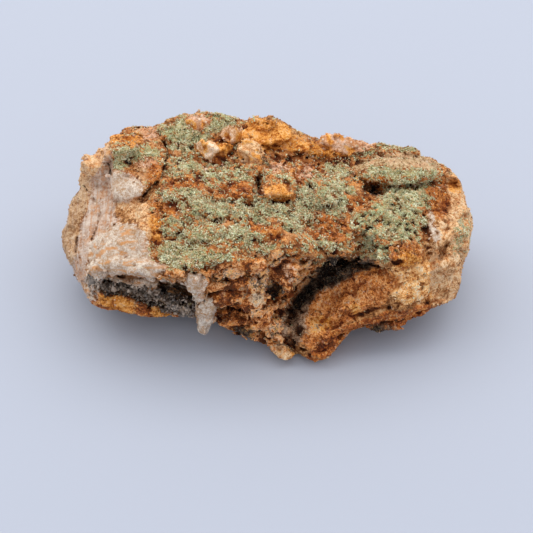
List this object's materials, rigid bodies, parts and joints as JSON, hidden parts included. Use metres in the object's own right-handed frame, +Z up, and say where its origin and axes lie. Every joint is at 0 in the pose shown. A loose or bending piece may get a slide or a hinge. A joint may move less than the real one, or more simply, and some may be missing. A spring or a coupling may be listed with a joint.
{
  "type": "pyromorphite specimen",
  "caption": "Blocky rock of quartz and rusty limonite whose flat top is crusted with small green pyromorphite crystals; it rests on worn spots underneath.",
  "frame": {"origin": "middle of the rock's outline, on the surface that it rests on", "axes": "+X along the rock's length, +Z up out of the crystal-covered top, -Y out of the broken front with the cleft"},
  "size_m": [0.1416, 0.0798, 0.0542],
  "materials": {
    "limonite_matrix": "rough, earthy",
    "pyromorphite": "greasy lustre",
    "quartz": "vitreous on broken faces",
    "manganese_oxide": "dull, sooty"
  },
  "bodies": {
    "root": {"matrix_rock": "limonite_matrix"}
  },
  "joints": []
}
